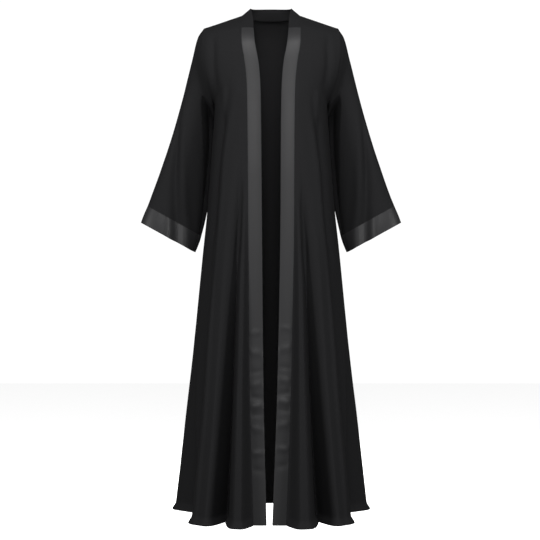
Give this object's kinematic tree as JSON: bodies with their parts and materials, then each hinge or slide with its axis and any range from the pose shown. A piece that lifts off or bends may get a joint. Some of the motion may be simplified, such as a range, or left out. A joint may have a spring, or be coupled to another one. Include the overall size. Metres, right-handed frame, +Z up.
{
  "type": "open-front abaya",
  "caption": "Full-length open-front robe with flared skirt, bell sleeves, and satin bands down the front edges and round the cuffs, holding its worn form.",
  "frame": {"origin": "where the wearer carries the robe: midway between the two neck points, level with them", "axes": "+Z up; the front faces -Y; +X is the wearer's left"},
  "size_m": [0.726, 0.4522, 1.4224],
  "materials": {
    "crepe": "matt black crepe with a fine grain",
    "satin": "black satin with a soft sheen"
  },
  "bodies": {
    "root": {"back": "crepe", "front_right": "crepe", "front_left": "crepe", "sleeve_right": "crepe", "sleeve_left": "crepe", "neck_band": "crepe", "front_band_right": "satin", "front_band_left": "satin", "cuff_right": "satin", "cuff_left": "satin"}
  },
  "joints": []
}
